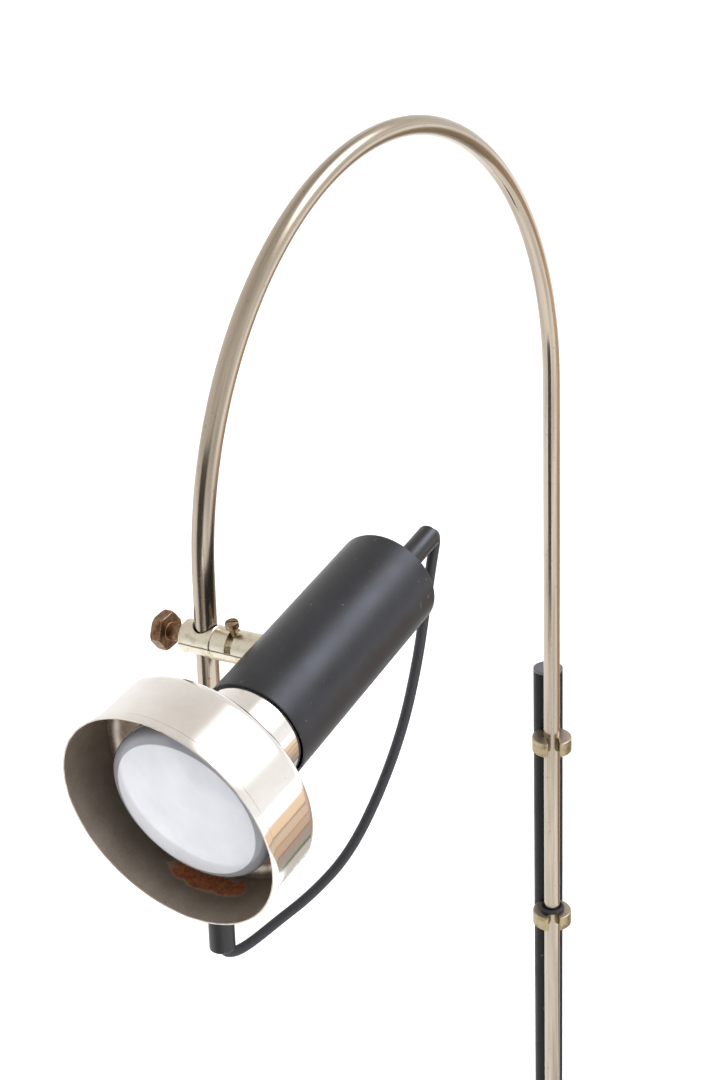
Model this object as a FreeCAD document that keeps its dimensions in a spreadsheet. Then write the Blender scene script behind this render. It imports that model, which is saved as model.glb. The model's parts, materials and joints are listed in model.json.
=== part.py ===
import FreeCAD, Part
import math
import os
import re

import Sketcher
from FreeCAD import Placement, Rotation, Vector

# An adjustable arm floor lamp: a heavy round base with a short pole, a bent arm tube that slides and
# turns in two spring clips on the pole, and a spot head that hangs on the arm's short leg in a clamp.
# Millimetres, +Z up, origin at the centre of the base's underside, on the pole's axis.

doc = FreeCAD.newDocument("ArmFloorLamp")
sheet = doc.addObject("Spreadsheet::Sheet", "Sizes")

SIZES = {
    # stand
    "base_radius": 145, "base_height": 18, "pad_height": 2, "pad_radius": 138,
    "pole_diameter": 24, "pole_wall": 1.5, "pole_top": 998, "pole_cap_height": 2,
    "pole_plug_length": 40, "bolt_diameter": 10, "bolt_head_height": 6, "washer_radius": 13,
    "washer_height": 1.6, "recess_radius": 18, "recess_depth": 10, "bolt_clearance": 0.3, "bolt_inset": 5,
    "bolt_head_radius": 7, "bolt_head_corner": 9.4, "base_round": 3, "base_bevel": 1, "cap_depth": 12,
    "cap_bevel": 0.5,
    # fits
    "running_gap": 0.05, "press_gap": 0.02, "lead_gap": 0.15,
    # clips that hold the arm on the pole
    "leg_spacing": 22.5, "leg_azimuth": 213.6, "clip_diameter": 32, "clip_height": 12, "clip_mouth": 9.5,
    "clip_chamfer": 1.6, "clip_bevel": 0.5,
    "upper_clip_middle": 943, "lower_clip_middle": 779,
    "ring_section": 3.8,
    # arm
    "tube_diameter": 13, "tube_wall": 1.2, "bend_radius": 222, "bend_height": 1250, "leg_lean": 2.2,
    "tail_end": 330, "head_leg_length": 228, "lead_diameter": 6.5, "leg_cap_diameter": 16,
    "leg_cap_length": 30, "leg_cap_overlap": 18, "leg_cap_tip_round": 1.5, "leg_cap_edge_round": 0.6,
    "flare_radius": 5.4, "flare_depth": 6,
    # clamp on the arm's short leg, measured along its own axis from the leg
    "clamp_drop": 28.5, "clamp_diameter": 20, "clamp_back": 13.9, "clamp_seam": 8.3, "liner_diameter": 15,
    "liner_height": 12, "pivot_diameter": 12, "pivot_length": 20, "pivot_bevel": 1, "clamp_round": 1.5,
    "seam_bevel": 0.6, "seam_gap": 0.1,
    "stem_diameter": 10, "stem_tip": 9.5, "stem_bevel": 0.8, "knob_turn": 11, "knob_near": 25.6,
    "knob_far": 32.3, "knob_corner": 11.7,
    "knob_bevel_across": 1, "knob_bevel_along": 0.9, "pad_disc_radius": 4, "pad_disc_near": 7.7,
    "pad_disc_far": 9.4,
    "screw_place": 21.25, "screw_shank": 4.2, "screw_tip": 3, "screw_head_low": 13.5,
    "screw_head_top": 17.6,
    "screw_head_diameter": 7.8, "screw_head_round": 0.8, "screw_head_bevel": 0.4, "screw_slot": 1.2,
    "screw_slot_depth": 1.4, "slot_width": 4.5,
    "slot_visible_arc": 65, "slot_hidden_arc": 97, "slot_end_arc": 13, "screw_turn": -64,
    # head, measured along its own axis from the tilt axis, positive towards the open front
    "head_offset": 72, "head_pitch": 13.3, "housing_radius": 31.5, "housing_wall": 1.2,
    "housing_front": 60.6, "housing_rear": 83.3, "rear_wall": 2, "rear_round": 0.8, "housing_cope": 3.5,
    "sleeve_bore_depth": 22, "slot_floor_gap": 0.5,
    "nipple_diameter": 10, "nipple_bore": 7, "nipple_inner": 22, "nipple_outer": 40.5, "nut_outer": 29,
    "nut_height": 4, "nut_corner": 8,
    "grip_diameter": 14, "grip_length": 30, "grip_round": 1.4, "grip_up": 15, "grip_side": 14.5,
    "grip_thread": 8, "grip_thread_length": 12, "grip_nut_height": 3, "grip_nut_corner": 7.5,
    # shade
    "rim_radius": 65, "rim_front": 139, "shade_back": 97, "shade_wall": 1, "neck_radius": 29.85,
    "neck_rear": 50, "flange_inner": 20.3, "shoulder_round": 8.3, "throat_round": 24,
    "shade_skew": 2, "skew_towards": 57,
    # lampholder and bulb
    "holder_front": 49.05, "holder_rear": -14, "holder_bore": 15.6, "holder_floor": -8,
    "holder_thread": 20.1, "skirt_front": 58, "ring_front": 56.5, "ring_rear": 51.95, "ring_radius": 24,
    "shell_radius": 15.2, "shell_inner": 14.2, "shell_front": 40, "shell_rear": -2,
    "contact_radius": 4, "contact_rear": -7.9, "contact_front": -4.9,
    "bridge_place": -18, "bridge_height": 2, "bridge_width": 14, "bridge_half_length": 29.2,
    "bridge_foot_height": 10, "bridge_foot_thickness": 2,
    "holder_nipple_diameter": 10, "holder_nipple_rear": -30, "holder_nut_height": 4,
    "contact_hole_radius": 4.5, "holder_body_radius": 21.5, "part_gap": 0.1, "ring_bevel": 1,
    "bulb_apex": 130.8, "bulb_radius": 47.5, "bulb_widest": 113.3, "bulb_neck_start": 63,
    "bulb_neck_radius": 16.5, "stem_radius": 14, "stem_start": 56, "tip_flat": 1.5, "dome_curve": 150,
    "edge_curve": 18.5, "edge_front": 10.4, "edge_front_in": 1.5, "edge_round": 3, "edge_rear": 6.5, "edge_rear_in": 2.4,
    "back_curve": 130,
    "cap_front": 26, "cap_rear": 0, "cap_radius": 13.2, "cap_glass_radius": 13, "cap_shoulder": 3,
    "cap_floor_in": 4,
    "tip_radius": 5, "tip_rear": -4.7, "terminal_length": 16, "terminal_width": 9, "terminal_height": 8,
    "terminal_place": -52, "terminal_hole_radius": 1.8,
    # lead between head and arm
    "lead_in": 5, "lead_out": 7.5, "lead_up": 7, "lead_drop": 1.5,
}

for row, (alias, value) in enumerate(SIZES.items(), 1):
    sheet.set(f"A{row}", alias)
    sheet.set(f"B{row}", str(value))
    sheet.setAlias(f"B{row}", alias)
doc.recompute()


def formula(text):
    """The text of a formula with each size's name pointed at the sheet."""
    return re.sub(r"[a-z_]+", lambda word: f"Sizes.{word[0]}" if word[0] in SIZES else word[0], str(text))


def number(text):
    """The present value of a formula in the sheet's sizes."""
    value = sheet.evalExpression(str(text))
    return float(getattr(value, "Value", value))


def bind(thing, **formulas):
    """Tie each named property of an object to a formula in the sheet's sizes."""
    for name, text in formulas.items():
        thing.setExpression(name.replace("__", "."), formula(text))


def new_body(label):
    body = doc.addObject("PartDesign::Body", label)
    body.Label = label
    return body


def origin_plane(body, role):
    return next(plane for plane in body.Origin.OriginFeatures if plane.Role == role)


def new_sketch(body, name, role, turn=0):
    """A sketch on one of the body's own origin planes, turned about the plane's upright by `turn` degrees."""
    sketch = body.newObject("Sketcher::SketchObject", name)
    sketch.AttachmentSupport = [(origin_plane(body, role), "")]
    sketch.MapMode = "FlatFace"
    sketch.AttachmentOffset = Placement(Vector(), Rotation(Vector(0, 1, 0), turn))
    return sketch


def outline(sketch, corners):
    """A closed outline whose corners are pairs of formulas; (radius, side) between two corners bends
    that stretch into an arc: side +1 puts its centre to the left of the way from one to the next."""
    points = [corner for corner in corners if len(corner) == 2 and not corner[0] == "arc"]
    bends = {}
    count = -1
    for corner in corners:
        if corner[0] == "arc":
            bends[count] = corner[1:]
        else:
            count += 1
    places = [Vector(number(across), number(along), 0) for across, along in points]
    for index, start in enumerate(places):
        finish = places[(index + 1) % len(places)]
        if index in bends:
            radius, side = bends[index]
            half = (finish - start) * 0.5
            reach = math.sqrt(number(radius) ** 2 - half.Length ** 2)
            left = Vector(-half.y, half.x, 0).normalize()
            centre = start + half + left * reach * side
            angles = [math.atan2(end.y - centre.y, end.x - centre.x) for end in (start, finish)[::side]]
            whole = Part.Circle(centre, Vector(0, 0, 1), number(radius))
            sketch.addGeometry(Part.ArcOfCircle(whole, *angles))
        else:
            sketch.addGeometry(Part.LineSegment(start, finish))
    ends = []
    for index, start in enumerate(places):
        curve = sketch.Geometry[index]
        ends.append((1, 2) if (curve.StartPoint - start).Length < 1e-6 else (2, 1))
    for index, (across, along) in enumerate(points):
        first = ends[index][0]
        sketch.addConstraint(Sketcher.Constraint(
            "Coincident", index - 1 if index else len(points) - 1, ends[index - 1][1], index, first))
        for kind, text in (("DistanceX", across), ("DistanceY", along)):
            value = number(text)
            place = sketch.addConstraint(Sketcher.Constraint(kind, -1, 1, index, first, value))
            sketch.setExpression(f"Constraints[{place}]", formula(text))
        if index in bends:
            radius = bends[index][0]
            place = sketch.addConstraint(Sketcher.Constraint("Radius", index, number(radius)))
            sketch.setExpression(f"Constraints[{place}]", formula(radius))


def turned(label, corners, rounds=(), bevels=()):
    """A lathe-turned piece about its own Z, from an outline of (radius, height) corners. Each of
    rounds and bevels is (radius, height, size) and dresses the circular edge at that place."""
    body = new_body(label)
    sketch = new_sketch(body, label + "_outline", "XZ_Plane")
    outline(sketch, corners)
    spin = body.newObject("PartDesign::Revolution", label + "_turned")
    spin.Profile = sketch
    spin.ReferenceAxis = (sketch, ["V_Axis"])
    spin.Angle = 360
    doc.recompute()
    for kind, prop, dressings in (("Fillet", "Radius", rounds), ("Chamfer", "Size", bevels)):
        for radius, height, amount in dressings:
            dress(body, kind, prop, amount, lambda edge: is_circle(edge, number(radius), number(height)))
    return body


def is_circle(edge, radius, height):
    curve = edge.Curve
    return (isinstance(curve, Part.Circle) and abs(curve.Radius - radius) < 0.02
            and abs(curve.Center.z - height) < 0.02)


def dress(body, kind, prop, amount, wanted):
    """Round or bevel the edges of the body's tip that the test picks."""
    base = body.Tip
    names = [f"Edge{place}" for place, edge in enumerate(base.Shape.Edges, 1) if wanted(edge)]
    if not names:
        raise ValueError(f"{body.Label}: no edge to dress")
    feature = body.newObject(f"PartDesign::{kind}", f"{body.Label}_{kind.lower()}")
    feature.Base = (base, names)
    bind(feature, **{prop: amount})
    doc.recompute()


AXES = {"X": Rotation(Vector(0, 1, 0), 90), "Y": Rotation(Vector(1, 0, 0), -90), "Z": Rotation()}


def primitive(body, kind, at=(0, 0, 0), axis="Z", spin=0, **formulas):
    """Add or take away a primitive solid: kind is such as AdditiveCylinder or SubtractiveBox."""
    feature = body.newObject(f"PartDesign::{kind}", f"{body.Label}_{kind.lower()}")
    feature.Placement = Placement(Vector(), AXES[axis] * Rotation(Vector(0, 0, 1), spin))
    for side, text in zip("xyz", at):
        bind(feature, **{f"Placement__Base__{side}": text})
    bind(feature, **formulas)
    doc.recompute()
    return feature


def round_bar(body, kind, radius, length, at=(0, 0, 0), axis="Z"):
    return primitive(body, kind + "Cylinder", at, axis, Radius=radius, Height=length)


def block(body, kind, length, width, height, at):
    """A box centred on its place in X and Y and standing on it in Z."""
    return primitive(body, kind + "Box", (f"{at[0]} - ({length}) / 2", f"{at[1]} - ({width}) / 2", at[2]),
                     Length=length, Width=width, Height=height)


def hexagon(body, corner, height, at=(0, 0, 0), spin=0):
    prism = primitive(body, "AdditivePrism", at, spin=spin, Circumradius=corner, Height=height)
    prism.Polygon = 6
    doc.recompute()


# ---------------------------------------------------------------------------------------------------
# Places of the moving parts
# ---------------------------------------------------------------------------------------------------

POLE_TO_LEG = math.radians(number("leg_azimuth"))
LEG = Vector(math.cos(POLE_TO_LEG), math.sin(POLE_TO_LEG), 0) * number("leg_spacing")
LEAN = math.radians(number("leg_lean"))
BEND_RADIUS = number("bend_radius")
LEG_DOWN = Vector(-math.sin(LEAN), 0, -math.cos(LEAN))
LEG_START = LEG + Vector(-BEND_RADIUS * (1 + math.cos(LEAN)), 0,
                         number("bend_height") + BEND_RADIUS * math.sin(LEAN))
CLAMP = LEG_START + LEG_DOWN * (
    (BEND_RADIUS * math.sin(LEAN) + number("clamp_drop")) / math.cos(LEAN))
HEAD = CLAMP + Vector(0, -number("head_offset"), 0)
LEG_END = LEG_START + LEG_DOWN * number("head_leg_length")

ALONG_LEG = Rotation(Vector(0, 1, 0), number("leg_lean"))
CLAMP_TURN = ALONG_LEG * Rotation(Vector(1, 0, 0), 90)
HEAD_TURN = Rotation(Vector(0, 1, 0), -(90 + number("head_pitch")))
SLEEVE_TURN = Rotation(Vector(0, 1, 0), -number("head_pitch")) * Rotation(Vector(1, 0, 0), 90)


def in_head(across=0, side=0, along=0):
    """The place of a point given in the head's own frame."""
    return HEAD + HEAD_TURN.multVec(Vector(across, side, along))


def place(body, at=Vector(), turn=Rotation()):
    body.Placement = Placement(at, turn)
    return body


# ---------------------------------------------------------------------------------------------------
# Stand
# ---------------------------------------------------------------------------------------------------

def base_pad():
    return turned("base_pad", [(0, 0), ("pad_radius", 0), ("pad_radius", "pad_height"), (0, "pad_height")])


def base_plate():
    top = "pad_height + base_height"
    ceiling = "pad_height + recess_depth"
    hole = "bolt_diameter / 2 + bolt_clearance"
    return turned("base_plate", [
        (hole, ceiling), ("recess_radius", ceiling), ("recess_radius", "pad_height"),
        ("base_radius", "pad_height"), ("base_radius", top), (hole, top)],
        rounds=[("base_radius", top, "base_round")], bevels=[("base_radius", "pad_height", "base_bevel")])


def pole():
    inner = "pole_diameter / 2 - pole_wall"
    low = "pad_height + base_height"
    return turned("pole", [(inner, low), ("pole_diameter / 2", low), ("pole_diameter / 2", "pole_top"),
                           (inner, "pole_top")])


def pole_cap():
    inner = "pole_diameter / 2 - pole_wall - running_gap"
    top = "pole_top + pole_cap_height"
    return turned("pole_cap", [
        (0, "pole_top - cap_depth"), (inner, "pole_top - cap_depth"), (inner, "pole_top"),
        ("pole_diameter / 2", "pole_top"), ("pole_diameter / 2", top), (0, top)],
        bevels=[("pole_diameter / 2", top, "cap_bevel")])


def pole_plug():
    low = "pad_height + base_height"
    return turned("pole_plug", [
        ("bolt_diameter / 2 + running_gap", low), ("pole_diameter / 2 - pole_wall - running_gap", low),
        ("pole_diameter / 2 - pole_wall - running_gap", f"{low} + pole_plug_length"),
        ("bolt_diameter / 2 + running_gap", f"{low} + pole_plug_length")])


def base_bolt():
    head_top = "pad_height + recess_depth - washer_height"
    head_low = f"{head_top} - bolt_head_height"
    tip = "pad_height + base_height + pole_plug_length - bolt_inset"
    body = turned("base_bolt", [
        (0, head_low), ("bolt_head_radius", head_low), ("bolt_head_radius", head_top),
        ("bolt_diameter / 2", head_top), ("bolt_diameter / 2", tip), (0, tip)])
    hexagon(body, "bolt_head_corner", "bolt_head_height", (0, 0, head_low))
    return body


def base_washer():
    low = "pad_height + recess_depth - washer_height"
    return turned("base_washer", [("bolt_diameter / 2 + bolt_clearance", low), ("washer_radius", low),
                                  ("washer_radius", "pad_height + recess_depth"),
                                  ("bolt_diameter / 2 + bolt_clearance", "pad_height + recess_depth")])


def arm_clip(label, middle):
    """A turned collar with a sprung mouth away from the pole and a saddle brazed to the pole."""
    bore = "tube_diameter / 2 + running_gap"
    low, high = "-clip_height / 2", "clip_height / 2"
    body = turned(label, [(bore, low), ("clip_diameter / 2", low), ("clip_diameter / 2", high), (bore, high)],
                  bevels=[("clip_diameter / 2", end, "clip_bevel") for end in (low, high)])
    primitive(body, "SubtractiveBox", (0, "-clip_mouth / 2", "-clip_height"), Length="clip_diameter",
              Width="clip_mouth", Height="2 * clip_height")
    dress(body, "Chamfer", "Size", "clip_chamfer", is_mouth_edge)
    round_bar(body, "Subtractive", "pole_diameter / 2", "2 * clip_height",
              ("-leg_spacing", 0, "-clip_height"))
    return place(body, LEG + Vector(0, 0, number(middle)), Rotation(Vector(0, 0, 1), number("leg_azimuth")))


def is_mouth_edge(edge):
    """An upright edge of the clip's mouth, where it meets the outside of the collar."""
    middle = edge.CenterOfMass
    upright = edge.Length > number("clip_height") / 2 and abs(edge.tangentAt(edge.FirstParameter).z) > 0.99
    return upright and middle.x > number("tube_diameter") and abs(middle.y) < number("clip_mouth")


def stop_ring():
    body = new_body("stop_ring")
    bore = "tube_diameter / 2 + press_gap"
    primitive(body, "AdditiveTorus", Radius1=f"{bore} + ring_section / 2", Radius2="ring_section / 2")
    height = number("lower_clip_middle + clip_height / 2 + ring_section / 2")
    return place(body, LEG + Vector(0, 0, height))


# ---------------------------------------------------------------------------------------------------
# Arm
# ---------------------------------------------------------------------------------------------------

def arm_path(body, name):
    """The arm's centreline: the long leg, the bend, and the short leg that leans out a little."""
    rise = number("bend_height - tail_end")
    turn = math.pi - LEAN
    sketch = new_sketch(body, name, "XZ_Plane")
    bend_end = Vector(BEND_RADIUS * (math.cos(turn) - 1), rise + BEND_RADIUS * math.sin(turn), 0)
    finish = bend_end + Vector(-math.sin(LEAN), -math.cos(LEAN), 0) * number("head_leg_length")
    bend = Part.Arc(Vector(0, rise, 0),
                    Vector(BEND_RADIUS * (math.cos(turn / 2) - 1),
                           rise + BEND_RADIUS * math.sin(turn / 2), 0),
                    bend_end)
    sketch.addGeometry(Part.LineSegment(Vector(0, 0, 0), Vector(0, rise, 0)))
    sketch.addGeometry(bend)
    sketch.addGeometry(Part.LineSegment(bend_end, finish))
    sketch.addConstraint(Sketcher.Constraint("Coincident", 0, 1, -1, 1))
    sketch.addConstraint(Sketcher.Constraint("Vertical", 0))
    sketch.addConstraint(Sketcher.Constraint("Tangent", 0, 2, 1, 1))
    sketch.addConstraint(Sketcher.Constraint("Tangent", 1, 2, 2, 1))
    for constraint, text in (
            (Sketcher.Constraint("Distance", 0, rise), "bend_height - tail_end"),
            (Sketcher.Constraint("Radius", 1, BEND_RADIUS), "bend_radius"),
            (Sketcher.Constraint("Distance", 2, number("head_leg_length")), "head_leg_length"),
            (Sketcher.Constraint("DistanceX", 2, 2, 2, 1, (bend_end - finish).x),
             "head_leg_length * sin(leg_lean * 1 deg)")):
        spot = sketch.addConstraint(constraint)
        sketch.setExpression(f"Constraints[{spot}]", formula(text))
    return sketch


def bent_piece(label, radii):
    """A round section, hollow where two radii are given, swept along the arm's centreline."""
    body = new_body(label)
    path = arm_path(body, label + "_path")
    section = new_sketch(body, label + "_section", "XY_Plane")
    for radius in radii:
        spot = section.addGeometry(Part.Circle(Vector(), Vector(0, 0, 1), number(radius)))
        section.addConstraint(Sketcher.Constraint("Coincident", spot, 3, -1, 1))
        size = section.addConstraint(Sketcher.Constraint("Radius", spot, number(radius)))
        section.setExpression(f"Constraints[{size}]", formula(radius))
    sweep = body.newObject("PartDesign::AdditivePipe", label + "_sweep")
    sweep.Profile = section
    sweep.Spine = (path, [])
    doc.recompute()
    return place(body, LEG + Vector(0, 0, number("tail_end")))


def arm_tube():
    return bent_piece("arm_tube", ["tube_diameter / 2", "tube_diameter / 2 - tube_wall"])


def arm_lead():
    return bent_piece("arm_lead", ["lead_diameter / 2"])


def leg_cap(label):
    """A black cap over a tube end, its floor pierced for the lead and flared at the mouth."""
    hole = "lead_diameter / 2 + lead_gap"
    socket = "tube_diameter / 2 + running_gap"
    depth = "leg_cap_length - leg_cap_overlap"
    return turned(label, [
        ("flare_radius", 0), ("leg_cap_diameter / 2", 0), ("leg_cap_diameter / 2", "leg_cap_length"),
        (socket, "leg_cap_length"), (socket, depth), (hole, depth), (hole, "flare_depth")],
        rounds=[("leg_cap_diameter / 2", 0, "leg_cap_tip_round"),
                ("leg_cap_diameter / 2", "leg_cap_length", "leg_cap_edge_round")])


def head_leg_cap():
    drop = number("leg_cap_length - leg_cap_overlap")
    return place(leg_cap("head_leg_cap"), LEG_END + LEG_DOWN * drop, ALONG_LEG)


def tail_cap():
    drop = number("leg_cap_length - leg_cap_overlap")
    return place(leg_cap("tail_cap"), LEG + Vector(0, 0, number("tail_end") - drop))


# ---------------------------------------------------------------------------------------------------
# Clamp: its pieces' own Z runs from the knob through the leg to the head, Y up along the leg
# ---------------------------------------------------------------------------------------------------

def clamp_liner():
    body = turned("clamp_liner", [
        ("tube_diameter / 2 + running_gap", "-liner_height / 2"), ("liner_diameter / 2", "-liner_height / 2"),
        ("liner_diameter / 2", "liner_height / 2"), ("tube_diameter / 2 + running_gap", "liner_height / 2")])
    return place(body, CLAMP, ALONG_LEG)


def clamp_body():
    body = turned("clamp_body", [
        ("stem_diameter / 2 + running_gap", "-clamp_back"), ("clamp_diameter / 2", "-clamp_back"),
        ("clamp_diameter / 2", "clamp_seam"), ("pivot_diameter / 2", "clamp_seam"),
        ("pivot_diameter / 2", "clamp_seam + pivot_length"), (0, "clamp_seam + pivot_length"), (0, 0),
        ("stem_diameter / 2 + running_gap", 0)],
        rounds=[("clamp_diameter / 2", "-clamp_back", "clamp_round")],
        bevels=[("clamp_diameter / 2", "clamp_seam", "seam_bevel"),
                ("pivot_diameter / 2", "clamp_seam + pivot_length", "pivot_bevel")])
    round_bar(body, "Subtractive", "liner_diameter / 2 + running_gap", "2 * clamp_diameter",
              (0, "-clamp_diameter", 0), "Y")
    lean = "(head_pitch + leg_lean) * 1 deg"
    hole = round_bar(body, "Subtractive", "screw_shank / 2", "clamp_diameter",
                     (f"-screw_tip * sin({lean})", f"screw_tip * cos({lean})", "screw_place"))
    hole.Placement.Rotation = Rotation(Vector(0, 0, 1), number("head_pitch + leg_lean")) * AXES["Y"]
    doc.recompute()
    return place(body, CLAMP, CLAMP_TURN)


def tilt_screw():
    """A slotted cheese-head screw that stands in the sleeve's slot and in the pivot."""
    body = turned("tilt_screw", [
        (0, "screw_tip"), ("screw_shank / 2", "screw_tip"), ("screw_shank / 2", "screw_head_low"),
        ("screw_head_diameter / 2", "screw_head_low"), ("screw_head_diameter / 2", "screw_head_top"),
        (0, "screw_head_top")],
        rounds=[("screw_head_diameter / 2", "screw_head_top", "screw_head_round")],
        bevels=[("screw_head_diameter / 2", "screw_head_low", "screw_head_bevel")])
    block(body, "Subtractive", "2 * screw_head_diameter", "screw_slot", "2 * screw_slot_depth",
          (0, 0, "screw_head_top - screw_slot_depth"))
    upright = Rotation(Vector(0, 1, 0), -number("head_pitch"))
    return place(body, CLAMP + Vector(0, -number("screw_place"), 0),
                 upright * Rotation(Vector(0, 0, 1), number("screw_turn")))


def pressure_disc():
    body = turned("pressure_disc", [(0, "-pad_disc_far"), ("pad_disc_radius", "-pad_disc_far"),
                                    ("pad_disc_radius", "-pad_disc_near"), (0, "-pad_disc_near")])
    return place(body, CLAMP, CLAMP_TURN)


def clamp_knob():
    """A brass hexagon knob with the stem that presses the disc against the liner."""
    core = "knob_corner * cos(30 * 1 deg) - knob_bevel_across"
    body = turned("clamp_knob", [
        (0, "-knob_far"), (core, "-knob_far"), (core, "-knob_near"),
        ("stem_diameter / 2", "-knob_near"), ("stem_diameter / 2", "-stem_tip"), (0, "-stem_tip")],
        bevels=[("stem_diameter / 2", "-stem_tip", "stem_bevel")])
    hexagon(body, "knob_corner", "knob_far - knob_near", (0, 0, "-knob_far"), number("knob_turn"))
    for name, end, step in (("far", "-knob_far", "+"), ("near", "-knob_near", "-")):
        bevel = new_sketch(body, f"knob_bevel_{name}", "XZ_Plane")
        outline(bevel, [("knob_corner - knob_bevel_across", end), ("knob_corner + knob_bevel_across", end),
                        ("knob_corner + knob_bevel_across", f"{end} {step} 2 * knob_bevel_along")])
        cut = body.newObject("PartDesign::Groove", f"knob_groove_{name}")
        cut.Profile = bevel
        cut.ReferenceAxis = (bevel, ["V_Axis"])
        cut.Angle = 360
        doc.recompute()
    return place(body, CLAMP, CLAMP_TURN)


# ---------------------------------------------------------------------------------------------------
# Head: its pieces' own Z runs forward to the open front and X up
# ---------------------------------------------------------------------------------------------------

def swivel_sleeve():
    """The sleeve on the pivot, coped to the housing, with a slot round it for the tilt screw."""
    far = "head_offset - housing_radius + housing_cope"
    stop = "clamp_seam + sleeve_bore_depth"
    gap = "clamp_seam + seam_gap"
    body = turned("swivel_sleeve", [
        ("pivot_diameter / 2 + running_gap", gap), ("clamp_diameter / 2", gap),
        ("clamp_diameter / 2", far), ("nipple_diameter / 2 + running_gap", far),
        ("nipple_diameter / 2 + running_gap", stop), ("pivot_diameter / 2 + running_gap", stop)],
        bevels=[("clamp_diameter / 2", gap, "seam_bevel")])
    slot = new_sketch(body, "sleeve_slot", "XZ_Plane", 90 + number("slot_visible_arc - slot_hidden_arc") / 2)
    outline(slot, [("pivot_diameter / 2 - slot_floor_gap", "screw_place - slot_width / 2"),
                   ("clamp_diameter", "screw_place - slot_width / 2"),
                   ("clamp_diameter", "screw_place + slot_width / 2"),
                   ("pivot_diameter / 2 - slot_floor_gap", "screw_place + slot_width / 2")])
    cut = body.newObject("PartDesign::Groove", "sleeve_groove")
    cut.Profile = slot
    cut.ReferenceAxis = (slot, ["V_Axis"])
    cut.Midplane = True
    bind(cut, Angle="slot_visible_arc + slot_hidden_arc + 2 * slot_end_arc")
    doc.recompute()
    round_bar(body, "Subtractive", "housing_radius", "2 * clamp_diameter",
              ("-clamp_diameter", 0, "head_offset"), "X")
    return place(body, CLAMP, SLEEVE_TURN)


def in_sleeve(body):
    return place(body, HEAD, HEAD_TURN * Rotation(Vector(1, 0, 0), -90))


def sleeve_nipple():
    return in_sleeve(turned("sleeve_nipple", [
        ("nipple_bore / 2", "nipple_inner"), ("nipple_diameter / 2", "nipple_inner"),
        ("nipple_diameter / 2", "nipple_outer"), ("nipple_bore / 2", "nipple_outer")]))


def sleeve_nut():
    body = new_body("sleeve_nut")
    hexagon(body, "nut_corner", "nut_height", (0, 0, "nut_outer - nut_height"))
    round_bar(body, "Subtractive", "nipple_diameter / 2 + press_gap", "2 * nut_height",
              (0, 0, "nut_outer - 1.5 * nut_height"))
    return in_sleeve(body)


def in_head_frame(body):
    return place(body, HEAD, HEAD_TURN)


def housing():
    inner = "housing_radius - housing_wall"
    body = turned("housing", [
        (0, "-housing_rear"), ("housing_radius", "-housing_rear"), ("housing_radius", "housing_front"),
        (inner, "housing_front"), (inner, "rear_wall - housing_rear"), (0, "rear_wall - housing_rear")],
        rounds=[("housing_radius", "-housing_rear", "rear_round")])
    round_bar(body, "Subtractive", "nipple_diameter / 2 + running_gap", "housing_radius",
              (0, "housing_radius / 2", 0), "Y")
    round_bar(body, "Subtractive", "grip_thread / 2 + running_gap", "3 * rear_wall",
              ("grip_up", "-grip_side", "-housing_rear - rear_wall"))
    return in_head_frame(body)


def at_grip(body):
    return place(body, in_head(number("grip_up"), -number("grip_side")), HEAD_TURN)


def cord_grip():
    """A black nose on the housing's back that the lead comes out of, with its thread inside."""
    tip = "-housing_rear - grip_length"
    hole = "lead_diameter / 2 + lead_gap"
    return at_grip(turned("cord_grip", [
        ("flare_radius", tip), ("grip_diameter / 2", tip), ("grip_diameter / 2", "-housing_rear"),
        ("grip_thread / 2", "-housing_rear"), ("grip_thread / 2", "grip_thread_length - housing_rear"),
        (hole, "grip_thread_length - housing_rear"), (hole, f"{tip} + flare_depth")],
        rounds=[("grip_diameter / 2", tip, "grip_round")]))


def grip_nut():
    body = new_body("grip_nut")
    hexagon(body, "grip_nut_corner", "grip_nut_height", (0, 0, "rear_wall - housing_rear"))
    round_bar(body, "Subtractive", "grip_thread / 2 + press_gap", "3 * grip_nut_height",
              (0, 0, "-housing_rear"))
    return at_grip(body)


def askew(body):
    """Leans a piece of the shade about the middle of its flange, within the slack of its ring."""
    towards = Rotation(Vector(0, 0, 1), number("skew_towards")).multVec(Vector(1, 0, 0))
    lean = Rotation(Vector(0, 0, 1).cross(towards), number("shade_skew"))
    flange = Vector(0, 0, number("neck_rear + shade_wall / 2"))
    return place(body, HEAD + HEAD_TURN.multVec(flange - lean.multVec(flange)), HEAD_TURN * lean)


def shade():
    """Neck, throat and ring, spun from one sheet, with a flange that the lampholder's ring grips."""
    wall, neck = "shade_wall", "neck_radius"
    inside = f"{neck} - {wall}"
    return askew(turned("shade", [
        ("rim_radius", "rim_front"), ("rim_radius - shade_wall", "rim_front"),
        ("rim_radius - shade_wall", "shade_back + shade_wall"), (inside, "shade_back + shade_wall"),
        (inside, "neck_rear + shade_wall"), ("flange_inner", "neck_rear + shade_wall"),
        ("flange_inner", "neck_rear"), (neck, "neck_rear"), (neck, "shade_back"),
        ("rim_radius", "shade_back")],
        rounds=[("rim_radius", "shade_back", "shoulder_round"),
                ("rim_radius - shade_wall", "shade_back + shade_wall", "shoulder_round - shade_wall"),
                (neck, "shade_back", "throat_round"),
                (inside, "shade_back + shade_wall", "throat_round + shade_wall")]))


def lampholder():
    return in_head_frame(turned("lampholder", [
        ("contact_hole_radius", "holder_rear"), ("holder_body_radius", "holder_rear"),
        ("holder_body_radius", "holder_front"), ("holder_thread", "holder_front"),
        ("holder_thread", "skirt_front"), ("holder_bore", "skirt_front"), ("holder_bore", "holder_floor"),
        ("contact_hole_radius", "holder_floor")]))


def shade_ring():
    return in_head_frame(turned("shade_ring", [
        ("holder_thread + part_gap", "ring_rear"), ("ring_radius", "ring_rear"),
        ("ring_radius", "ring_front"), ("holder_thread + part_gap", "ring_front")],
        bevels=[("ring_radius", "ring_front", "ring_bevel")]))


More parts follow.
